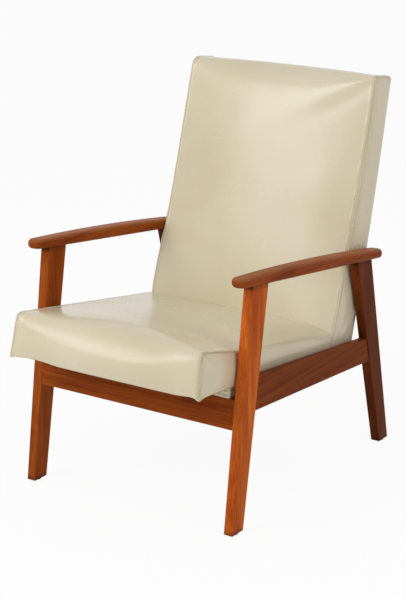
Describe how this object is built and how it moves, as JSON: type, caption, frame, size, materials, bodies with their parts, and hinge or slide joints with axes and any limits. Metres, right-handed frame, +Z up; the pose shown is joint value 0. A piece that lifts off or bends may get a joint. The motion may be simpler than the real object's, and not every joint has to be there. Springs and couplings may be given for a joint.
{
  "type": "upholstered armchair",
  "caption": "Mid-century style television chair with a raked timber frame, sloping flat armrests and a tall one-piece seat and back covered in cream vinyl.",
  "frame": {"origin": "on the floor, below the middle of the chair's box", "axes": "Z up; the chair faces -Y; +X is the viewer's right when facing the chair"},
  "size_m": [0.615, 0.8522, 0.9573],
  "materials": {
    "lacquered_wood": "satin",
    "raw_wood": "matte",
    "cream_vinyl": "satin",
    "foam": "matte",
    "felt": "matte",
    "lining": "matte",
    "webbing": "matte",
    "hardboard": "matte",
    "steel": "satin"
  },
  "bodies": {
    "root": {"arm_dowels": "raw_wood", "armrest_left": "lacquered_wood", "armrest_right": "lacquered_wood", "back_board": "hardboard", "back_bracket_left": "steel", "back_bracket_right": "steel", "back_cover": "cream_vinyl", "back_foam": "foam", "back_frame_dowels": "raw_wood", "back_leg_left": "lacquered_wood", "back_leg_right": "lacquered_wood", "back_lower_rail": "raw_wood", "back_side_panel_left": "cream_vinyl", "back_side_panel_right": "cream_vinyl", "back_stile_left": "raw_wood", "back_stile_right": "raw_wood", "back_top_rail": "raw_wood", "back_webbing": "webbing", "bearer_wrap": "cream_vinyl", "block_screws": "steel", "bracket_screws": "steel", "clip_nails": "steel", "front_bearer": "raw_wood", "front_corner_block_left": "raw_wood", "front_corner_block_right": "raw_wood", "front_leg_left": "lacquered_wood", "front_leg_right": "lacquered_wood", "front_rail": "lacquered_wood", "front_rail_dowels": "raw_wood", "leg_glides": "steel", "lining_tacks": "steel", "outside_back": "cream_vinyl", "rear_corner_block_left": "raw_wood", "rear_corner_block_right": "raw_wood", "rear_rail": "lacquered_wood", "rear_rail_dowels": "raw_wood", "seat_cover": "cream_vinyl", "seat_foam": "foam", "seat_frame_dowels": "raw_wood", "seat_frame_front": "raw_wood", "seat_frame_side_left": "raw_wood", "seat_frame_side_right": "raw_wood", "seat_insulator": "felt", "seat_side_panel_left": "cream_vinyl", "seat_side_panel_right": "cream_vinyl", "seat_spring_rail": "raw_wood", "seat_springs": "steel", "side_rail_dowels": "raw_wood", "side_rail_left": "lacquered_wood", "side_rail_right": "lacquered_wood", "spring_clips": "steel", "unit_lining": "lining", "unit_screws": "steel", "unit_washers": "steel", "webbing_tacks": "steel"}
  },
  "joints": []
}
